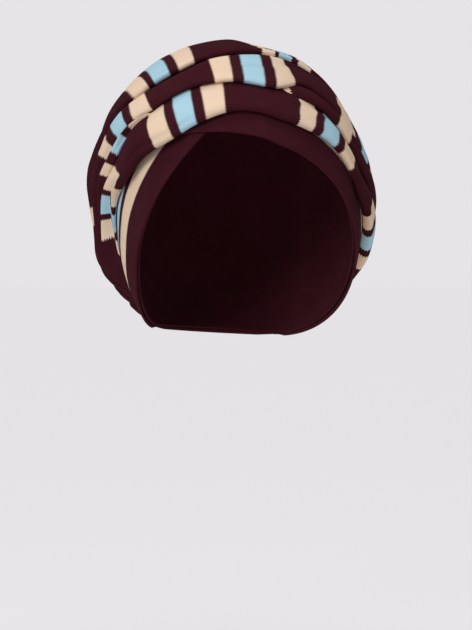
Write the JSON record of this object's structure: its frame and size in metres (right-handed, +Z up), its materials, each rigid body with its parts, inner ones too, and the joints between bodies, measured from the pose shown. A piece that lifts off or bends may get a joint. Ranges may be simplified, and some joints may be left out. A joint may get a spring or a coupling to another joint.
{
  "type": "turban headwrap",
  "caption": "Pull-on turban headwrap: fitted jersey cap with crossed brow bands under an outer drape laid in soft folds from ear to ear.",
  "frame": {"origin": "inside of the crown, where the top of the wearer's head touches", "axes": "+Z up through the crown, -Y the way the face looks, -X the wearer's right"},
  "size_m": [0.2027, 0.2302, 0.21],
  "materials": {
    "cap_jersey": "matt fine knit jersey, one burgundy colour inside",
    "band_jersey": "matt fine knit jersey, stripes of cream and light blue along the band above its burgundy edge",
    "drape_jersey": "matt fine knit jersey, burgundy with groups of cream, burgundy and light blue stripes across the folds"
  },
  "bodies": {
    "root": {"under_cap": "cap_jersey", "temple_wrap": "band_jersey", "brow_wrap": "band_jersey", "front_fold": "drape_jersey", "narrow_pleat": "drape_jersey", "second_fold": "drape_jersey", "crown_fold": "drape_jersey", "back_folds": "drape_jersey", "nape_band": "band_jersey"}
  },
  "joints": []
}
